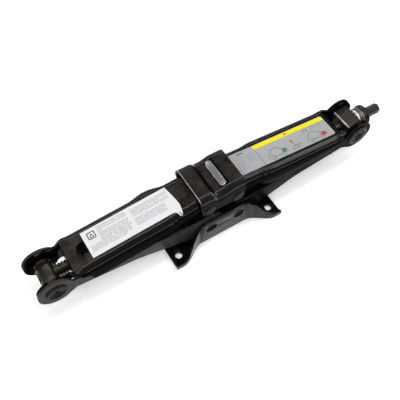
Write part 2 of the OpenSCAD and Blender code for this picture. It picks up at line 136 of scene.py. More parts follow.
# %% Dust: a mask that is strong where a face looks up, broken up by noise
dust, d_in, d_out = new_group(
    "settled_dust", [("Vector", V, None), ("Normal", V, None), ("Amount", F, 0.5)], [("Mask", F)])
split = add(dust, "ShaderNodeSeparateXYZ")
facing = add(dust, "ShaderNodeMapRange")
facing.inputs["From Min"].default_value = 0.965
facing.inputs["From Max"].default_value = 0.99
cloud = add(dust, "ShaderNodeTexNoise", Scale=90.0, Detail=6.0, Roughness=0.7)
broken = add(dust, "ShaderNodeMapRange")
broken.inputs["From Min"].default_value = 0.25
broken.inputs["From Max"].default_value = 0.7
both = add(dust, "ShaderNodeMath", operation="MULTIPLY")
scaled = add(dust, "ShaderNodeMath", operation="MULTIPLY")
dust.links.new(d_in.outputs["Normal"], split.inputs[0])
dust.links.new(split.outputs["Z"], facing.inputs["Value"])
dust.links.new(d_in.outputs["Vector"], cloud.inputs["Vector"])
dust.links.new(cloud.outputs["Fac"], broken.inputs["Value"])
dust.links.new(facing.outputs[0], both.inputs[0])
dust.links.new(broken.outputs[0], both.inputs[1])
dust.links.new(both.outputs[0], scaled.inputs[0])
dust.links.new(d_in.outputs["Amount"], scaled.inputs[1])
dust.links.new(scaled.outputs[0], d_out.inputs["Mask"])
print("made group", dust.name)

# %% Edge wear and painted highlight: the bevelled edges carry an attribute, and noise picks which stretches are rubbed; an edge marked well over 1 is light all along, a painted highlight
wear_highlight_group, w_in, w_out = new_group(
    "edge_wear_and_highlight", [("Vector", V, None), ("Edge", F, 0.0), ("Amount", F, 0.5)], [("Mask", F)])
patch = add(wear_highlight_group, "ShaderNodeTexNoise", Scale=240.0, Detail=4.0)
chosen = add(wear_highlight_group, "ShaderNodeMapRange")
chosen.inputs["From Min"].default_value = 0.5
chosen.inputs["From Max"].default_value = 0.62
chosen.inputs["To Min"].default_value = 0.1
on_edge = add(wear_highlight_group, "ShaderNodeMath", operation="MULTIPLY")
amount = add(wear_highlight_group, "ShaderNodeMath", operation="MULTIPLY")
wear_highlight_group.links.new(w_in.outputs["Vector"], patch.inputs["Vector"])
wear_highlight_group.links.new(patch.outputs["Fac"], chosen.inputs["Value"])
wear_highlight_group.links.new(chosen.outputs[0], on_edge.inputs[0])
wear_highlight_group.links.new(w_in.outputs["Edge"], on_edge.inputs[1])
wear_highlight_group.links.new(on_edge.outputs[0], amount.inputs[0])
wear_highlight_group.links.new(w_in.outputs["Amount"], amount.inputs[1])
wear_highlight_group.links.new(amount.outputs[0], w_out.inputs["Mask"])
print("made group", wear_highlight_group.name)


# %% [markdown]
# ## Finishes
# A finish is a Principled BSDF fed by those groups: its colour goes from the clean coat to dust, and
# to a light metal colour on a marked edge, which is wear where it has rubbed and a painted highlight
# where it is marked strongly; its roughness follows the same masks; and the relief makes its
# bump. One function builds them all, because the jack's finishes differ in amounts, not in kind.

# %% One function for every coated or bare metal surface
def finish(name, colour, rough, metallic=0.0, dust_colour=(0.06, 0.05, 0.04), dusty=0.0,
           wear_and_highlight_colour=(0.45, 0.44, 0.42), wear_and_highlight=0.0, peel=0.5, wave=0.3, peel_scale=700.0,
           bump=0.0002, coat=0.0, vary=0.25, gloss=0.5, fold_gloss=None):
    material = bpy.data.materials.new(name)
    material.use_nodes = True
    tree = material.node_tree
    shader = tree.nodes["Principled BSDF"]
    shader.inputs["Metallic"].default_value = metallic
    shader.inputs["Coat Weight"].default_value = coat
    shader.inputs["Coat Roughness"].default_value = 0.12
    shader.inputs["Specular IOR Level"].default_value = gloss
    if fold_gloss is not None:
        fold = add(tree, "ShaderNodeAttribute", attribute_name="folded")
        shine = add(tree, "ShaderNodeMapRange")
        shine.inputs["To Min"].default_value = gloss
        shine.inputs["To Max"].default_value = fold_gloss
        tree.links.new(fold.outputs["Fac"], shine.inputs["Value"])
        tree.links.new(shine.outputs[0], shader.inputs["Specular IOR Level"])
    where = add(tree, "ShaderNodeTexCoord")
    edge = add(tree, "ShaderNodeAttribute", attribute_name="rubbed_and_highlit")
    surface = add(tree, "ShaderNodeGroup", node_tree=relief)
    surface.inputs["Peel Scale"].default_value = peel_scale
    surface.inputs["Peel"].default_value = peel
    surface.inputs["Wave"].default_value = wave
    settled = add(tree, "ShaderNodeGroup", node_tree=dust)
    settled.inputs["Amount"].default_value = dusty
    rubbed_and_highlit = add(tree, "ShaderNodeGroup", node_tree=wear_highlight_group)
    rubbed_and_highlit.inputs["Amount"].default_value = wear_and_highlight
    for group in (surface, settled, rubbed_and_highlit):
        tree.links.new(where.outputs["Object"], group.inputs["Vector"])
    tree.links.new(where.outputs["Normal"], settled.inputs["Normal"])
    tree.links.new(edge.outputs["Fac"], rubbed_and_highlit.inputs["Edge"])

    tone = add(tree, "ShaderNodeMix", data_type="RGBA")
    tone.inputs["A"].default_value = (*[c * (1 - vary) for c in colour], 1)
    tone.inputs["B"].default_value = (*[min(1, c * (1 + vary)) for c in colour], 1)
    dusted = add(tree, "ShaderNodeMix", data_type="RGBA")
    dusted.inputs["B"].default_value = (*dust_colour, 1)
    # The edge mask turns the colour light: wear on rubbed edges, a painted highlight on strongly marked
    # ones.
    bared_and_highlit = add(tree, "ShaderNodeMix", data_type="RGBA")
    bared_and_highlit.inputs["B"].default_value = (*wear_and_highlight_colour, 1)
    tree.links.new(surface.outputs["Speckle"], tone.inputs["Factor"])
    tree.links.new(tone.outputs["Result"], dusted.inputs["A"])
    tree.links.new(settled.outputs["Mask"], dusted.inputs["Factor"])
    tree.links.new(dusted.outputs["Result"], bared_and_highlit.inputs["A"])
    tree.links.new(rubbed_and_highlit.outputs["Mask"], bared_and_highlit.inputs["Factor"])
    tree.links.new(bared_and_highlit.outputs["Result"], shader.inputs["Base Color"])

    roughness = add(tree, "ShaderNodeMapRange")
    roughness.inputs["To Min"].default_value = rough
    roughness.inputs["To Max"].default_value = min(1.0, rough + 0.35)
    tree.links.new(settled.outputs["Mask"], roughness.inputs["Value"])
    tree.links.new(roughness.outputs[0], shader.inputs["Roughness"])
    height = add(tree, "ShaderNodeBump", Strength=1.0, Distance=bump)
    tree.links.new(surface.outputs["Height"], height.inputs["Height"])
    tree.links.new(height.outputs["Normal"], shader.inputs["Normal"])
    return material


# %% The jack's finishes
EARTH = (0.066, 0.053, 0.044)
left_paint = finish("left_paint", (0.0015, 0.0014, 0.0017), 0.2, dusty=0.95, wear_and_highlight=0.5, gloss=0.006,
                    dust_colour=EARTH, bump=0.00005, fold_gloss=0.42)
right_paint = finish("right_paint", (0.0015, 0.0014, 0.0017), 0.2, dusty=0.4, wear_and_highlight=0.5, gloss=0.006,
                     dust_colour=EARTH, bump=0.00005, fold_gloss=0.36)
saddle_paint = finish("saddle_paint", (0.003, 0.0026, 0.0026), 0.2, dusty=0.9, wear_and_highlight=0.8,
                      dust_colour=(0.042, 0.036, 0.033), bump=0.00008, gloss=0.02, fold_gloss=0.5)
# The left lower arm is painted about ten times lighter than the right one, which wears the same paint:
# painted light on its flanges.
lit_left_side_paint = finish("lit_left_side_paint", (0.034, 0.033, 0.031), 0.32, dusty=0.3, wear_and_highlight=0.5,
                         dust_colour=EARTH, bump=0.0001, gloss=0.08)
right_side_paint = finish("right_side_paint", (0.003, 0.0028, 0.0026), 0.3, dusty=0.3, wear_and_highlight=0.5,
                          dust_colour=EARTH, bump=0.0001, gloss=0.012)
base_paint = finish("base_paint", (0.002, 0.002, 0.0022), 0.24, dusty=0.0, wear_and_highlight=0.6,
                    bump=0.00008, gloss=0.23, fold_gloss=0.6)
# Its rubbed edges turn near-white, partly wear and partly a painted highlight on the shoulders of the nut's
# barrel.
dark_steel = finish("dark_steel", (0.048, 0.042, 0.036), 0.3, metallic=0.8, dusty=0.2, wear_and_highlight=1.0,
                    wear_and_highlight_colour=(0.6, 0.6, 0.6), bump=0.0001, gloss=0.3)
# Near-black and far darker than the steel of these parts: painted shade for the dark dished ends of the pins
# and trunnions, also used on the washers.
dished_steel = finish("dished_steel", (0.006, 0.0052, 0.004), 0.3, wear_and_highlight=0.4, bump=0.0001, gloss=0.07)
bare_steel = finish("bare_steel", (0.04, 0.036, 0.03), 0.36, metallic=0.5, dusty=0.3, wear_and_highlight=1.0,
                    wear_and_highlight_colour=(0.62, 0.63, 0.6), bump=0.0002, vary=0.5, gloss=0.2,
                    dust_colour=(0.045, 0.04, 0.034))
# The rib wears the saddle's own black paint; this light grey, with near-white on its rim, is a painted
# highlight.
rib_highlight_paint = finish("rib_highlight_paint", (0.20, 0.21, 0.22), 0.22, metallic=0.35, wear_and_highlight=1.0,
                   wear_and_highlight_colour=(0.85, 0.86, 0.88), bump=0.00008, vary=0.15)
drive_steel = finish("drive_steel", (0.016, 0.010, 0.008), 0.4, metallic=0.1, wear_and_highlight=0.5,
                     bump=0.0002, vary=0.4, gloss=0.12)
screw_steel = finish("screw_steel", (0.06, 0.057, 0.04), 0.3, metallic=0.8, wear_and_highlight=0.3, bump=0.0001)
bright_steel = finish("bright_steel", (0.62, 0.62, 0.61), 0.18, metallic=1.0, bump=0.00003, vary=0.05)
cage_brass = finish("cage_brass", (0.5, 0.35, 0.15), 0.3, metallic=1.0, bump=0.00005)
# Its edge colour only shows on the cup's rim, which is marked at 8: a painted highlight, near-white all
# round.
zinc = finish("zinc", (0.10, 0.105, 0.095), 0.34, metallic=0.75, wear_and_highlight=1.0, wear_and_highlight_colour=(0.75, 0.75, 0.74),
              bump=0.00008, vary=0.12, peel_scale=1500.0)
print(len(bpy.data.materials), "materials")

# %% [markdown]
# ## From a CAD solid to a pressed part
# A CAD node arrives as loose triangles with knife-sharp edges. A real pressing has a bend where two
# faces meet and a small break on every cut edge, and those catch the light. So each part is a copy
# of its node: the doubles are merged, the flat triangles dissolved, the bends rounded as each part
# needs, and every cut edge bevelled fine. The faces that the fine bevel makes are marked, and the
# paint wears through there.

# %% Helper: a merged copy of a CAD node
def copy_of(node):
    bm = bmesh.new()
    bm.from_mesh(frame["nodes"][node].data)
    bmesh.ops.remove_doubles(bm, verts=bm.verts, dist=0.004 * MM)
    bmesh.ops.dissolve_limit(bm, angle_limit=radians(0.4), verts=bm.verts, edges=bm.edges)
    return bm


def bevel_edges(bm, edges, radius, segments):
    """Rounds the edges, and returns the faces that this makes."""
    if not edges:
        return []
    made = bmesh.ops.bevel(bm, geom=edges, offset=radius, offset_type="OFFSET", affect="EDGES",
                           segments=segments, profile=0.5, material=-1, clamp_overlap=True)
    return made["faces"]


def sharp_edges(bm, smallest):
    """Edges between two faces that meet at more than the smallest angle, in degrees."""
    return [e for e in bm.edges if e.is_manifold and e.calc_face_angle(0) > radians(smallest)]


# %% Helper: break the sharp edges, mark them, and make the object
def mark(bm, faces, name, amount=1.0):
    """Writes an amount on the corners of the faces, for a material to read.

    At 1, noise picks which stretches of an edge are rubbed; well over 1, all of it is light, a painted
    highlight.
    """
    layer = bm.loops.layers.float.get(name) or bm.loops.layers.float.new(name)
    for face in faces:
        if face.is_valid:
            for loop in face.loops:
                loop[layer] = max(loop[layer], amount)


def broken_edges(bm, radius, smallest=32, segments=2):
    mark(bm, bevel_edges(bm, sharp_edges(bm, smallest), radius, segments), "rubbed_and_highlit")


def finish_piece(bm, name, body, replaced, materials, smooth_under=34):
    """Writes the mesh to an object that rides on its body in place of the CAD nodes."""
    for face in bm.faces:
        face.smooth = True
    for edge in bm.edges:
        edge.smooth = not edge.is_manifold or edge.calc_face_angle(0) < radians(smooth_under)
    mesh = bpy.data.meshes.new(name)
    bm.to_mesh(mesh)
    bm.free()
    piece = bpy.data.objects.new(name, mesh)
    bpy.context.collection.objects.link(piece)
    for material in materials:
        mesh.materials.append(material)
    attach(piece, body)
    if replaced:
        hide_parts(*replaced)
    print(f"{name}: {len(mesh.polygons)} faces")


# %% [markdown]
# ## The arms
# Each arm is a channel, and the fold between its web and its flanges is a round bend. A bevel would
# be held back by the short edges at the arm's step, so the bend is pressed instead: the web is cut
# into a fine net, and each point near the fold sinks onto a circle. The same is done to the web's
# other skin with a circle smaller by the sheet's thickness. Past the web's end the bend fades out.

# %% Helpers: faces with their edges and points, and how far the web reaches at x, read from its rim
def whole_of(faces):
    return list(dict.fromkeys(g for f in faces for g in (*f.verts, *f.edges, f)))


def half_width(rim, x, side):
    points = rim[side]
    if x <= points[0][0]:
        return points[0][1]
    for (xa, wa), (xb, wb) in zip(points, points[1:]):
        if x <= xb:
            return wb if xb == xa else wa + (wb - wa) * (x - xa) / (xb - xa)
    return points[-1][1]


# %% Helper: press one skin of a web; 'up' is 1 when the web looks up, -1 when it looks down
NET_STEP_X, NET_STEP_Y, NET_FROM_Y, NET_ROWS = 2.5, 0.8, 13, 16


def press_fold(bm, up, outer, radius, fade_from, fade_to):
    """Rounds the web's folds to the radius, and returns the faces that are bent."""
    def looks(face):
        return face.normal.z * up > 0.9 if outer else face.normal.z * up < -0.9

    web = max((f for f in bm.faces if looks(f)), key=lambda f: f.calc_area())
    point, slope = web.calc_center_median(), web.normal.x / web.normal.z

    def level(x):
        return point.z - (x - point.x) * slope

    rim = {1: [], -1: []}
    for edge in web.edges:
        side = 1 if edge.verts[0].co.y > 0 else -1
        outward = side if outer else -side
        if abs(edge.verts[0].co.y) > 10 * MM and any(f.normal.y * outward > 0.7 for f in edge.link_faces):
            rim[side] += [(v.co.x, abs(v.co.y)) for v in edge.verts]
    for side in rim:
        widest = {}
        for x, w in rim[side]:
            widest[round(x, 5)] = max(w, widest.get(round(x, 5), 0))
        rim[side] = sorted(widest.items())
    xs = [x for x, w in rim[1] + rim[-1]]
    steps = [min(xs) + NET_STEP_X * MM * i
             for i in range(1, int((max(xs) - min(xs)) / (NET_STEP_X * MM)))]
    planes = [((x, 0, 0), (1, 0, 0)) for x in steps]
    planes += [((0, side * (NET_FROM_Y + NET_STEP_Y * i) * MM, 0), (0, 1, 0))
               for side in (-1, 1) for i in range(NET_ROWS)]
    for place, normal in planes:
        skin = [f for f in bm.faces if looks(f)
                and abs(f.calc_center_median().z - level(f.calc_center_median().x)) < 0.05 * MM]
        bmesh.ops.bisect_plane(bm, geom=whole_of(skin), plane_co=place, plane_no=normal)
    pressed = set()
    for v in bm.verts:
        x, y, z = v.co
        if abs(z - level(x)) > 0.03 * MM:
            continue
        fade = min(max((fade_to - abs(x)) / (fade_to - fade_from), 0.05), 1)
        r = radius * fade
        over = min(max(abs(y) - half_width(rim, x, 1 if y > 0 else -1) + r, 0), r)
        if over > 0:
            v.co.z -= up * (r - sqrt(r * r - over * over))
            pressed.add(v)
    return [f for v in pressed for f in v.link_faces if looks(f) or abs(f.normal.y) < 0.7]


# %% Build the four arms
SHEET_EDGE = 0.45 * MM
SHEET_T = 2.5 * MM
LOWER_FOLD_R = 3.2 * MM
FADE_LENGTH = 12 * MM
for name, body, paint, fold_r, up, past_web in (
        ("lower_arm_left", "lower_left", lit_left_side_paint, LOWER_FOLD_R, -1, 36),
        ("lower_arm_right", "lower_right", right_side_paint, LOWER_FOLD_R, -1, 36),
        ("upper_arm_left", "upper_left", left_paint, FOLD_R, 1, 45),
        ("upper_arm_right", "upper_right", right_paint, FOLD_R, 1, 45)):
    arm = copy_of(name)
    mark(arm, [], "folded")
    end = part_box(name)[0].x if "left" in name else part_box(name)[1].x
    fade_from = abs(end) - past_web * MM
    fade_to = fade_from + FADE_LENGTH
    press_fold(arm, up, False, fold_r - SHEET_T, fade_from, fade_to)
    bent = press_fold(arm, up, True, fold_r, fade_from, fade_to)
    arm.normal_update()
    mark(arm, [f for f in bent if f.is_valid and 0.12 < abs(f.normal.y) < 0.9], "folded")
    broken_edges(arm, SHEET_EDGE)
    finish_piece(arm, name + "_pressed", body, [name], [paint])


# %% [markdown]
# ## Base and saddle
# The base is a pressing too, with its walls folded up from the plate. Its folds have no short edges
# beside them, so a wide bevel rounds them. The saddle's folds are round in the CAD already, but its
# valley is cut straight through them. So the saddle's top is cut into a net, as the arms' webs were,
# and the valley is pressed down round the folds as well. A light strip along its left end is a painted
# highlight.

# %% Helper: the outside folds of a channel, where a wide level face meets an upright one
def outside_folds(bm, smallest_area):
    found = []
    for edge in bm.edges:
        if not edge.is_manifold:
            continue
        level, side = sorted(edge.link_faces, key=lambda f: abs(f.normal.y))
        if (abs(level.normal.z) > 0.9 and abs(side.normal.y) > 0.75
                and level.calc_area() > smallest_area and edge.calc_face_angle_signed() > 0):
            found.append(edge)
    return found


# %% Build the base
BASE_FOLD_R = 2.6 * MM
PLATE_AREA = 900 * MM * MM
base = copy_of("base_plate")
mark(base, bevel_edges(base, outside_folds(base, PLATE_AREA), BASE_FOLD_R, 5), "folded")
broken_edges(base, SHEET_EDGE)
finish_piece(base, "base_plate_pressed", "base", ["base_plate"], [base_paint])

# %% Sizes of the saddle, from its node
saddle_low, saddle_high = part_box("saddle_bracket")
saddle_half_w, saddle_top = saddle_high.y, saddle_high.z
BEND_R = 8.5 * MM
VALLEY = ((-14, 0), (-11.6, 0.25), (-8.2, 3.1), (-6.8, 3.3), (-1.2, 3.3), (0.6, 2.95), (7.4, 0.75),
          (9.6, 0.1), (12, 0))
print("saddle top at, mm:", round(saddle_top / MM, 1))


# %% Helpers: how deep the valley is at x, and how far the round bend has dropped at y
def valley_depth(x):
    for (xa, da), (xb, db) in zip(VALLEY, VALLEY[1:]):
        if xa * MM <= x <= xb * MM:
            t = (x / MM - xa) / (xb - xa)
            return (da + (db - da) * t) * MM
    return 0.0


def bend_drop(y):
    over = min(max(abs(y) - (saddle_half_w - BEND_R), 0.0), BEND_R)
    return BEND_R - sqrt(BEND_R ** 2 - over ** 2)


# %% Cut the saddle's top into a fine net, then press the valley round its bends too
saddle = copy_of("saddle_bracket")
rib_faces = []
for face in saddle.faces:
    x, y, z = face.calc_center_median()
    if (abs(y) < 16.2 * MM and 0.2 * MM < x < 7 * MM and face.normal.z > 0.5
            and z > saddle_top - valley_depth(x) + 0.35 * MM):
        rib_faces.append(face)
print("faces on the rib:", len(rib_faces))
# The rib's faces take the second material, a painted highlight, and its rim is marked at 4 to paint it
# near-white.
for face in rib_faces:
    face.material_index = 1
rib_rim = list(dict.fromkeys(e for f in rib_faces for e in f.edges
                             if e.is_manifold and e.calc_face_angle(0) > radians(25)))
mark(saddle, bevel_edges(saddle, rib_rim, 0.7 * MM, 3), "rubbed_and_highlit", 4.0)
# A strip 0.9 mm wide along the saddle's left end, up to this x, is painted light: a painted highlight on
# that edge.
highlight_to = saddle_low.x + 0.9 * MM
net_x = [highlight_to] + [x * 0.75 * MM for x in range(-19, 17)]
net_y = [side * y * MM for side in (-1, 1) for y in (15.9, 17.2, 18.5, 19.8, 21, 22, 22.8)]
net = [((x, 0, 0), (1, 0, 0)) for x in net_x] + [((0, y, 0), (0, 1, 0)) for y in net_y]
for place, normal in net:
    above = [f for f in saddle.faces if f.normal.z > 0.02 or abs(f.normal.y) > 0.9]
    bmesh.ops.bisect_plane(saddle, geom=whole_of(above), plane_co=place, plane_no=normal)
for v in saddle.verts:
    x, y, z = v.co
    flat_top = saddle_top - bend_drop(y)
    cut_top = min(flat_top, saddle_top - valley_depth(x))
    outside_skin = abs(y) > saddle_half_w - 0.01 * MM or z > cut_top - 0.45 * MM
    if z > saddle_top - BEND_R - 0.01 * MM and outside_skin and z < cut_top + 0.45 * MM:
        v.co.z = min(z, flat_top - valley_depth(x))
saddle.normal_update()
mark(saddle, [f for f in saddle.faces
              if 0.3 < f.normal.z < 0.985 and f.calc_center_median().z > saddle_top - BEND_R
              and abs(f.normal.y) > 0.1], "folded")
# The top faces along the left end are marked at 7, so the whole strip is painted light: a painted highlight.
highlight_end = [f for f in saddle.faces
            if f.normal.z > 0.6 and f.calc_center_median().x < highlight_to
            and f.calc_center_median().z > saddle_top - 3 * MM]
print("faces along the saddle's worn left end:", len(highlight_end))
mark(saddle, highlight_end, "rubbed_and_highlit", 7.0)
broken_edges(saddle, SHEET_EDGE, smallest=40)
finish_piece(saddle, "saddle_pressed", "saddle", ["saddle_bracket"],
             [saddle_paint, rib_highlight_paint], smooth_under=40)

# %% [markdown]
# ## Pins, trunnions and washers
# These are turned or sawn from bar. Their shapes are right in the CAD, so they only need their
# edges broken. The washers and pins are near-black, and so are the trunnions' ends, as painted shade for
# their dished ends; the thrust block is bare, with an edge painted bright.

# %% Build the turned parts
axis_z = trunnion.z
turned = (
    ("base_pin_left", "base", "dark_steel", dished_steel),
    ("base_pin_right", "base", "dark_steel", dished_steel),
    ("saddle_pin_left", "saddle", "dark_steel", dished_steel),
    ("saddle_pin_right", "saddle", "dark_steel", dished_steel),
    ("nut_trunnion", "nut", "dark_steel", dark_steel),
    ("nut_washer_near", "nut", "dark_steel", dished_steel),
    ("nut_washer_far", "nut", "dark_steel", dished_steel),
    ("thrust_trunnion", "thrust", "bare_steel", bare_steel),
    ("thrust_washer_near", "thrust", "dark_steel", dished_steel),
    ("thrust_washer_far", "thrust", "dark_steel", dished_steel),
    ("bearing_race_fixed", "thrust", "bright_steel", bright_steel),
    ("bearing_race_turning", "screw", "bright_steel", bright_steel),
    ("ball_cage", "cage", "cage_brass", cage_brass),
    ("seal_washer", "screw", "dark_steel", dark_steel),
    ("drive_head", "screw", "bare_steel", drive_steel),
    ("drive_pin", "screw", "bright_steel", bright_steel))
for name, body, slot, material in turned:
    piece = copy_of(name)
    if name == "thrust_trunnion":
        # Its top-left edge is bevelled and marked at 6, so it is painted bright along its whole length.
        top_left = [e for e in sharp_edges(piece, 60)
                    if all(v.co.z > axis_z + 9.9 * MM and v.co.x < trunnion.x - 8.9 * MM for v in e.verts)]
        mark(piece, bevel_edges(piece, top_left, 1.3 * MM, 3), "rubbed_and_highlit", 6.0)
    broken_edges(piece, (0.5 if "trunnion" in name or "drive" in name else 0.25) * MM)
    # A trunnion's end faces take the near-black second material: painted shade in its dished ends.
    for face in piece.faces:
        if "trunnion" in name and abs(face.calc_center_median().y) > 15 * MM:
            face.material_index = 1
    finish_piece(piece, name + "_turned", body, [name], [material, dished_steel])

balls = copy_of("bearing_balls")
finish_piece(balls, "bearing_balls_ground", "cage", ["bearing_balls"],
             [bright_steel], smooth_under=60)

# %% [markdown]
# ## The lead screw
# A thread is one profile carried round the axis while it moves along it: that is what the spin
# operator does when it is given a step along the axis. One pitch of the profile is spun for every
# turn, the turns are merged, and the ends are cut square and closed. The bare shank and the spigot
# for the drive head are a second profile, spun once round.

# %% Sizes of the screw, from its node and its neighbours
screw_low, screw_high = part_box("lead_screw")
screw_r = (screw_high.z - screw_low.z) / 2
thread_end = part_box("thrust_trunnion")[1].x - 1 * MM
drive_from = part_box("drive_head")[0].x
PITCH, THREAD_DEPTH = 3.0 * MM, 1.1 * MM
SHANK_R, SPIGOT_R = 6.0 * MM, 4.0 * MM
print("threaded length, mm:", round((thread_end - screw_low.x) / MM, 1))


# %% Helper: spin an outline of (x, radius) points about the screw's axis
def spin_profile(bm, points, steps=48):
    verts = [bm.verts.new((x, 0, axis_z + r)) for x, r in points]
    edges = [bm.edges.new(pair) for pair in zip(verts, verts[1:])]
    bmesh.ops.spin(bm, geom=verts + edges, cent=(0, 0, axis_z), axis=(1, 0, 0), angle=2 * pi,
                   steps=steps, use_merge=True)
    bmesh.ops.remove_doubles(bm, verts=bm.verts, dist=0.002 * MM)
    bmesh.ops.holes_fill(bm, edges=bm.edges, sides=0)


# %% Build the screw
thread = bmesh.new()
turns_needed = int((thread_end - screw_low.x) / PITCH) + 3
start = screw_low.x - PITCH
root_r = screw_r - THREAD_DEPTH
outline = [(0.0, root_r), (0.25, root_r), (0.42, screw_r), (0.75, screw_r), (0.92, root_r), (1.0, root_r)]
verts = [thread.verts.new((start + t * PITCH, 0, axis_z + r)) for t, r in outline]
edges = [thread.edges.new(pair) for pair in zip(verts, verts[1:])]
STEPS_PER_TURN = 24
bmesh.ops.spin(thread, geom=verts + edges, cent=(0, 0, axis_z), axis=(1, 0, 0),
               dvec=(PITCH / STEPS_PER_TURN, 0, 0), angle=2 * pi * turns_needed,
               steps=STEPS_PER_TURN * turns_needed)
bmesh.ops.remove_doubles(thread, verts=thread.verts, dist=0.01 * MM)
for x, keep in ((screw_low.x, 1), (thread_end, -1)):
    whole = thread.verts[:] + thread.edges[:] + thread.faces[:]
    bmesh.ops.bisect_plane(thread, geom=whole, plane_co=(x, 0, 0), plane_no=(-keep, 0, 0),
                           clear_outer=True)
bmesh.ops.holes_fill(thread, edges=thread.edges, sides=0)
shank = [(thread_end - 0.5 * MM, SHANK_R * 0.5), (thread_end - 0.5 * MM, SHANK_R),
         (drive_from, SHANK_R), (drive_from, SPIGOT_R), (screw_high.x - 0.5 * MM, SPIGOT_R),
         (screw_high.x, SPIGOT_R - 0.5 * MM), (screw_high.x, SPIGOT_R * 0.5)]
spin_profile(thread, shank)
bmesh.ops.recalc_face_normals(thread, faces=thread.faces)
finish_piece(thread, "lead_screw_threaded", "screw", ["lead_screw"], [screw_steel],
             smooth_under=30)

# %% [markdown]
# ## The bearing cup
# The cup is drawn from zinc-plated sheet: a rolled rim at its open end, a groove where the tool
# gripped it, and a round shoulder at its closed end. One outline, out along the outside and back
# along the inside, is spun round the screw's axis.

# %% Build the cup
cup_low, cup_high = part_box("bearing_cup")
cup_r = (cup_high.z - cup_low.z) / 2
WALL, SHOULDER = 0.9 * MM, 2.2 * MM
shoulder = [(cup_high.x - SHOULDER * (1 - sin(a)), cup_r - 0.25 * MM - SHOULDER * (1 - cos(a)))
            for a in [radians(15 * i) for i in range(7)]]
rim = [(cup_low.x + 0.35 * MM * (1 - cos(a)), cup_r - 0.35 * MM * (1 - sin(a)))
       for a in [radians(30 * i) for i in range(1, 7)]]
outside = [(cup_low.x, cup_r - WALL)] + rim + [
    (cup_low.x + 1.4 * MM, cup_r - 0.55 * MM), (cup_low.x + 2.2 * MM, cup_r - 0.25 * MM)] + shoulder
inside = [(cup_high.x, SHANK_R), (cup_high.x - WALL, SHANK_R),
          (cup_high.x - WALL, cup_r - 3.2 * MM), (cup_high.x - WALL - 1.6 * MM, cup_r - WALL - 0.3 * MM),
          (cup_low.x, cup_r - WALL)]
cup = bmesh.new()
spin_profile(cup, outside + inside, steps=64)
bmesh.ops.recalc_face_normals(cup, faces=cup.faces)
# The rim's first 2 mm are painted light all round: a painted highlight along the rim.
mark(cup, [f for f in cup.faces if f.calc_center_median().x < cup_low.x + 2.0 * MM], "rubbed_and_highlit", 8.0)
finish_piece(cup, "bearing_cup_drawn", "screw", ["bearing_cup"], [zinc], smooth_under=40)

# %% [markdown]
# ## The labels
# Both labels are thin printed films stuck on the upper arms. They carry only generic marks: rows of
# short strokes where a maker prints its instructions, and simple pictures of a car, a jack and an
# arrow. A label is laid out flat in millimetres, as (along, across) from the jack's middle, and then
# wrapped onto the arm, round its fold where it hangs over the edge.

# %% Label finishes
white_film = finish("white_film", (0.76, 0.76, 0.78), 0.42, bump=0.00003, vary=0.02)
silver_film = finish("silver_film", (0.36, 0.37, 0.375), 0.42, metallic=0.1, bump=0.00005, vary=0.04)
yellow_ink = finish("yellow_ink", (0.82, 0.70, 0.0), 0.5, bump=0.00003, vary=0.03)
grey_ink = finish("grey_ink", (0.16, 0.16, 0.17), 0.5, bump=0.00003, vary=0.05)
dark_ink = finish("dark_ink", (0.012, 0.012, 0.016), 0.5, bump=0.00003, vary=0.05)
red_ink = finish("red_ink", (0.55, 0.03, 0.04), 0.5, bump=0.00003, vary=0.05)
green_ink = finish("green_ink", (0.02, 0.22, 0.11), 0.5, bump=0.00003, vary=0.05)
INKS = [white_film, silver_film, yellow_ink, grey_ink, dark_ink, red_ink, green_ink]
WHITE, SILVER, YELLOW, GREY, DARK, RED, GREEN = range(7)


# %% Helper: wrap flat label points onto an arm's top and round its fold
def wrap(bm, lift):
    """Lays the label 'lift' over the arm: level on top, round the fold, then down the side."""
    fold_r = FOLD_R + lift
    flat_w = UPPER_HALF_W - FOLD_R
    for v in bm.verts:
        along, across, up = v.co
        top = web_height(along)
        over = abs(across) - flat_w
        side = 1 if across > 0 else -1
        r = fold_r + up
        if over <= 0:
            v.co = (along, across, top + lift + up)
        elif over < fold_r * pi / 2:
            a = over / fold_r
            v.co = (along, side * (flat_w + r * sin(a)), top - FOLD_R + r * cos(a))
        else:
            down = over - fold_r * pi / 2
            v.co = (along, side * (flat_w + r), top - FOLD_R - down)


def film(bm, corners, ink):
    """A flat patch of film with these corners."""
    face = bm.faces.new([bm.verts.new((x * MM, y * MM, 0)) for x, y in corners])
    face.material_index = ink


def stroke(bm, points, width, ink):
    """A printed line: one thin strip for each stretch between two points."""
    for (xa, ya), (xb, yb) in zip(points, points[1:]):
        length = hypot(xb - xa, yb - ya)
        along = Vector(((xb - xa) / length, (yb - ya) / length, 0))
        across = Vector((-along.y, along.x, 0))
        turn = Matrix((along * length / 2, across * width / 2, (0, 0, 1))).transposed().to_4x4()
        middle = Matrix.Translation(((xa + xb) / 2, (ya + yb) / 2, 0))
        made = bmesh.ops.create_grid(bm, x_segments=1, y_segments=1, size=1,
                                     matrix=Matrix.Diagonal((MM, MM, MM, 1)) @ middle @ turn)
        for face in {f for v in made["verts"] for f in v.link_faces}:
            face.material_index = ink


def spot(bm, x, y, r, ink):
    made = bmesh.ops.create_circle(bm, cap_ends=True, segments=20, radius=r * MM,
                                   matrix=Matrix.Translation((x * MM, y * MM, 0)))
    for face in {f for v in made["verts"] for f in v.link_faces}:
        face.material_index = ink


def arc(x, y, r, start, end, steps=14):
    return [(x + r * cos(radians(start + (end - start) * i / steps)),
             y + r * sin(radians(start + (end - start) * i / steps))) for i in range(steps + 1)]


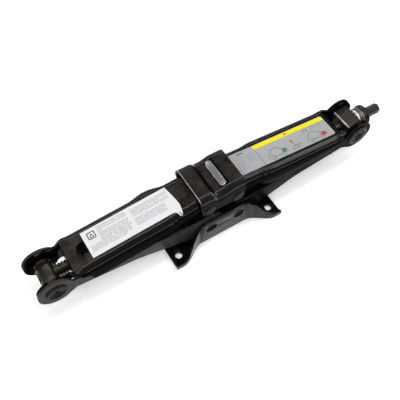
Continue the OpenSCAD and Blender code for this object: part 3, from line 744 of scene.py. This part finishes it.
# %% Helper: rows of short strokes, as a block of small print
def small_print(bm, x0, x1, rows, ink, width=0.42, seed=1):
    for row, y in enumerate(rows):
        x = x0
        count = seed * 7 + row * 13
        while x < x1 - 1:
            count += 1
            length = min(x1 - x, 3.5 + (count * 37 % 11) * 0.9)
            stroke(bm, [(x, y), (x + length, y)], width, ink)
            x += length + 0.9
            if (count * 29) % 17 == 3:
                break


# %% [markdown]
# The white label covers most of the left arm. Its right end is slightly rounded, and one corner runs
# on over the arm's near fold as a short tail with two punched dots.

# %% Build the white label
rating_low, rating_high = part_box("rating_label")
x0, x1 = rating_low.x / MM, rating_high.x / MM
y0, y1 = rating_low.y / MM, rating_high.y / MM
white = bmesh.new()
end_curve = [(x1 - 3.6 + 3.6 * sin(radians(18 * i)), y1 - (y1 - y0) * i / 5) for i in range(1, 5)]
tail = [(x1 - 1.2, y0), (x1 - 2.2, y0 - 4), (x1 - 3.6, y0 - 6.4), (x1 - 5.6, y0 - 5.6),
        (x1 - 7.0, y0 - 1.6), (x1 - 9.5, y0 + 0.1)]
film(white, [(x0, y0), (x0, y1), (x1 - 3.4, y1)] + end_curve + tail, WHITE)
print("white label", round(x1 - x0, 1), "by", round(y1 - y0, 1), "mm")

# %% Print on the white label
ink = bmesh.new()
rows = [y1 - 2.6 - 1.75 * i for i in range(13)]
small_print(ink, x0 + 15, x0 + 46, rows[:9], GREY, seed=1)
small_print(ink, x0 + 3, x0 + 44, rows[9:], GREY, seed=3)
small_print(ink, x0 + 50, x1 - 5, rows[1:6], GREY, seed=5)
small_print(ink, x0 + 50, x1 - 12, rows[7:12], GREY, seed=8)
stroke(ink, [(x0 + 5, y1 - 11), (x0 + 5, y1 - 4), (x0 + 12, y1 - 4), (x0 + 12, y1 - 11), (x0 + 5, y1 - 11)],
       0.9, DARK)
stroke(ink, [(x0 + 6.6, y1 - 9.6), (x0 + 10.4, y1 - 9.6), (x0 + 8.5, y1 - 5.6), (x0 + 6.6, y1 - 9.6)],
       0.7, DARK)
spot(ink, x1 - 4.6, y0 - 2.6, 0.75, DARK)
spot(ink, x1 - 4.0, y0 - 4.6, 0.75, DARK)


# %% Helper: finish a label and its print as two pieces on one arm
def label_pieces(film_bm, ink_bm, node, body):
    """Cuts the film fine where the fold bends it, then wraps the film and its print."""
    bmesh.ops.triangulate(film_bm, faces=film_bm.faces)
    flat_w = UPPER_HALF_W - FOLD_R
    for cut in range(10):
        for side in (-1, 1):
            whole = film_bm.verts[:] + film_bm.edges[:] + film_bm.faces[:]
            bmesh.ops.bisect_plane(film_bm, geom=whole, plane_co=(0, side * (flat_w + 0.8 * MM * cut), 0),
                                   plane_no=(0, 1, 0))
    wrap(film_bm, 0.05 * MM)
    bmesh.ops.recalc_face_normals(film_bm, faces=film_bm.faces)
    if sum(f.normal.z * f.calc_area() for f in film_bm.faces) < 0:
        bmesh.ops.reverse_faces(film_bm, faces=film_bm.faces)
    bmesh.ops.solidify(film_bm, geom=film_bm.faces[:], thickness=0.03 * MM)
    finish_piece(film_bm, node + "_film", body, [node], INKS)
    wrap(ink_bm, 0.12 * MM)
    for face in ink_bm.faces:
        face.normal_update()
        if face.normal.z < 0:
            face.normal_flip()
    finish_piece(ink_bm, node + "_print", body, [], INKS)


label_pieces(white, ink, "rating_label", "upper_left")

# %% [markdown]
# The silver label has round corners and a yellow band along its far edge. Left of a divider is a
# block of small print; right of it, from left to right, a car with a green sign, a jack with a red
# arrow, and a car with a red sign.

# %% Build the silver label
guide_low, guide_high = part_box("instruction_label")
x0, x1 = guide_low.x / MM, guide_high.x / MM
y0, y1 = guide_low.y / MM, guide_high.y / MM
ROUND = 2.2
corners = []
for cx, cy, start in ((x1 - ROUND, y1 - ROUND, 90), (x1 - ROUND, y0 + ROUND, 0),
                      (x0 + ROUND, y0 + ROUND, -90), (x0 + ROUND, y1 - ROUND, -180)):
    corners += arc(cx, cy, ROUND, start, start - 90, 5)
silver = bmesh.new()
film(silver, corners, SILVER)
divider = x0 + 29.5
guide = bmesh.new()
film(guide, [(divider, y1 - 5.2), (divider, y1 - 0.1)]
     + arc(x1 - ROUND, y1 - ROUND, ROUND - 0.1, 90, 0, 5) + [(x1 - 0.1, y1 - 5.2)], YELLOW)
stroke(guide, [(divider, y0 + 0.5), (divider, y1 - 5.2)], 0.4, DARK)


# %% Helper: a plain car seen from the side, drawn with one line
def car(bm, x, y, size, line):
    body = [(0, 0), (0.02, 0.16), (0.16, 0.24), (0.3, 0.42), (0.6, 0.44), (0.8, 0.25), (1.0, 0.2), (1.02, 0)]
    stroke(bm, [(x + a * size, y + b * size) for a, b in body], line, DARK)
    for wheel in (0.2, 0.8):
        stroke(bm, arc(x + wheel * size, y, 0.1 * size, 0, 360, 12), line, DARK)
    stroke(bm, [(x + 0.3 * size, y), (x + 0.7 * size, y)], line, DARK)


# %% Print on the silver label
rows = [y1 - 5.6 - 2.5 * i for i in range(7)]
stroke(guide, [(x0 + 3.4, y0 + 1), (x0 + 3.4, y1 - 1.5)], 0.35, GREY)
small_print(guide, x0 + 9, x0 + 18, [y1 - 3], DARK, width=1.0, seed=2)
small_print(guide, x0 + 5.5, x0 + 13, rows, GREY, width=0.4, seed=4)
small_print(guide, x0 + 17, divider - 3, rows[1:5], GREY, width=0.4, seed=7)
car(guide, divider + 8, y0 + 4.0, 23, 0.42)
spot(guide, divider + 28, y0 + 7.0, 2.7, GREEN)
stroke(guide, arc(divider + 28, y0 + 7.0, 1.5, 40, 320, 10), 0.4, SILVER)
jack_x = divider + 40
stroke(guide, [(jack_x - 3, y0 + 3.4), (jack_x + 1, y0 + 7.4), (jack_x + 7, y0 + 3.4)], 0.4, DARK)
stroke(guide, [(jack_x - 3, y0 + 3.4), (jack_x + 7, y0 + 3.4)], 0.4, DARK)
stroke(guide, [(jack_x + 1, y0 + 7.4), (jack_x + 10, y0 + 5.6)], 0.4, DARK)
stroke(guide, [(jack_x + 1, y0 + 9.4), (jack_x + 1, y0 + 14)], 1.1, RED)
stroke(guide, [(jack_x - 0.8, y0 + 12.2), (jack_x + 1, y0 + 15), (jack_x + 2.8, y0 + 12.2)], 0.6, RED)
stroke(guide, [(jack_x - 1, y1 - 2.6), (jack_x + 3, y1 - 2.6)], 1.5, DARK)
car(guide, divider + 58, y0 + 4.2, 22, 0.42)
for angle in range(0, 180, 30):
    dx, dy = 4.2 * cos(radians(angle + 10)), 2.9 * sin(radians(angle + 10))
    stroke(guide, [(divider + 80 - dx, y0 + 6 - dy), (divider + 80 + dx, y0 + 6 + dy)], 0.8, RED)
stroke(guide, [(divider + 60, y1 - 7.4), (divider + 65, y1 - 7.4), (divider + 65, y1 - 9.8),
               (divider + 60, y1 - 9.8), (divider + 60, y1 - 7.4)], 0.4, DARK)
small_print(guide, divider + 70, x1 - 8, [y1 - 7.4, y1 - 9.2], GREY, width=0.4, seed=6)
label_pieces(silver, guide, "instruction_label", "upper_right")

# %% [markdown]
# ## Floor, light and camera
# The jack stands on a plain white sheet, which glows a little so that it stays white under soft
# light. Two wide panels light the jack from its left and its right, and two narrow strips, above it
# and behind it, give its folds and edges their streaks. The camera looks down on its near side.

# %% Floor
floor_bm = bmesh.new()
bmesh.ops.create_grid(floor_bm, x_segments=1, y_segments=1, size=6)
floor_mesh = bpy.data.meshes.new("floor")
floor_bm.to_mesh(floor_mesh)
floor_bm.free()
floor = bpy.data.objects.new("floor", floor_mesh)
bpy.context.collection.objects.link(floor)
floor_paint = bpy.data.materials.new("floor_paint")
floor_paint.use_nodes = True
floor_shader = floor_paint.node_tree.nodes["Principled BSDF"]
floor_shader.inputs["Base Color"].default_value = (0.93, 0.93, 0.93, 1)
floor_shader.inputs["Roughness"].default_value = 0.9
floor_shader.inputs["Emission Color"].default_value = (1, 1, 1, 1)
floor_shader.inputs["Emission Strength"].default_value = 0.3
floor_mesh.materials.append(floor_paint)

# %% Light
world = bpy.data.worlds.new("studio")
bpy.context.scene.world = world
world.use_nodes = True
world.node_tree.nodes["Background"].inputs["Color"].default_value = (1, 1, 1, 1)
world.node_tree.nodes["Background"].inputs["Strength"].default_value = 0.22
bpy.context.scene.view_settings.view_transform = "Standard"


def panel(name, location, size, power):
    """A rectangular lamp. A square one faces the jack's middle, and a long one faces its axis."""
    light = bpy.data.lights.new(name, "AREA")
    light.shape = "RECTANGLE"
    light.size, light.size_y = size
    light.energy = power
    lamp = bpy.data.objects.new(name, light)
    lamp.location = location
    aim = Vector((location[0] if size[0] > size[1] else 0, 0, 0.03))
    lamp.rotation_euler = (aim - lamp.location).to_track_quat("-Z", "Y").to_euler()
    bpy.context.collection.objects.link(lamp)


panel("left_panel", (-1.7, -0.7, 1.5), (1.8, 1.8), 28)
panel("right_panel", (1.9, -0.7, 1.5), (1.8, 1.8), 28)
panel("top_strip", (0.48, 0.12, 1.5), (1.8, 0.16), 7)
panel("back_strip", (0.42, 0.92, 0.95), (1.8, 0.10), 6)

# %% Camera, set by the angles round and above the jack, its roll and its distance
TURN, RISE, ROLL = radians(34.8688), radians(57.9359), radians(3.4175)
DISTANCE, LENS = 601.787 * MM, 52.447
looked_at = Vector((-8.1567, 5.9791, 20)) * MM
back = Vector((-sin(TURN) * cos(RISE), -cos(TURN) * cos(RISE), sin(RISE)))
right = Vector((cos(TURN), -sin(TURN), 0))
up = back.cross(right)
right_rolled = right * cos(ROLL) + up * sin(ROLL)
up_rolled = up * cos(ROLL) - right * sin(ROLL)
camera = bpy.data.objects.new("camera", bpy.data.cameras.new("camera"))
camera.data.lens, camera.data.sensor_width = LENS, 36
pose = Matrix((right_rolled, up_rolled, back)).transposed().to_4x4()
pose.translation = looked_at + back * DISTANCE
camera.matrix_world = pose
bpy.context.collection.objects.link(camera)
bpy.context.scene.camera = camera
